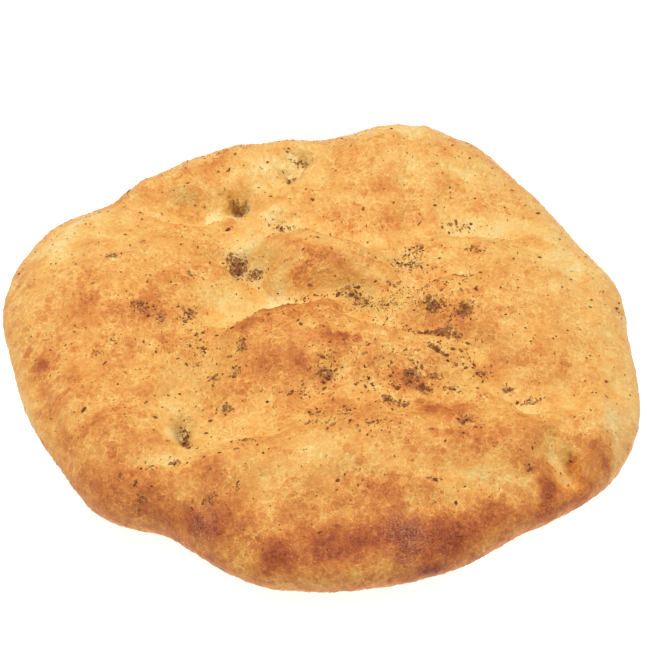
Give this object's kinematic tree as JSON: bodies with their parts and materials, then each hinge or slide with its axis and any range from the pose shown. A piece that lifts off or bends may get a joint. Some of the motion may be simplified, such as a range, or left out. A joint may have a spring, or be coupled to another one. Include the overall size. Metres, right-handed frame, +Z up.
{
  "type": "focaccia bianca",
  "caption": "Round hand-stretched flatbread with a dimpled golden crust, deep fingertip hollows and dried oregano baked on, lying on its flat underside.",
  "frame": {"origin": "middle of the loaf's bounding box, on the plane of its flat underside", "axes": "+Z up out of the top crust; -Y towards the front, where the side is darkest; +X to the right seen from the front"},
  "size_m": [0.2788, 0.2721, 0.0443],
  "materials": {
    "crust": null
  },
  "bodies": {
    "root": {"focaccia": "crust"}
  },
  "joints": []
}
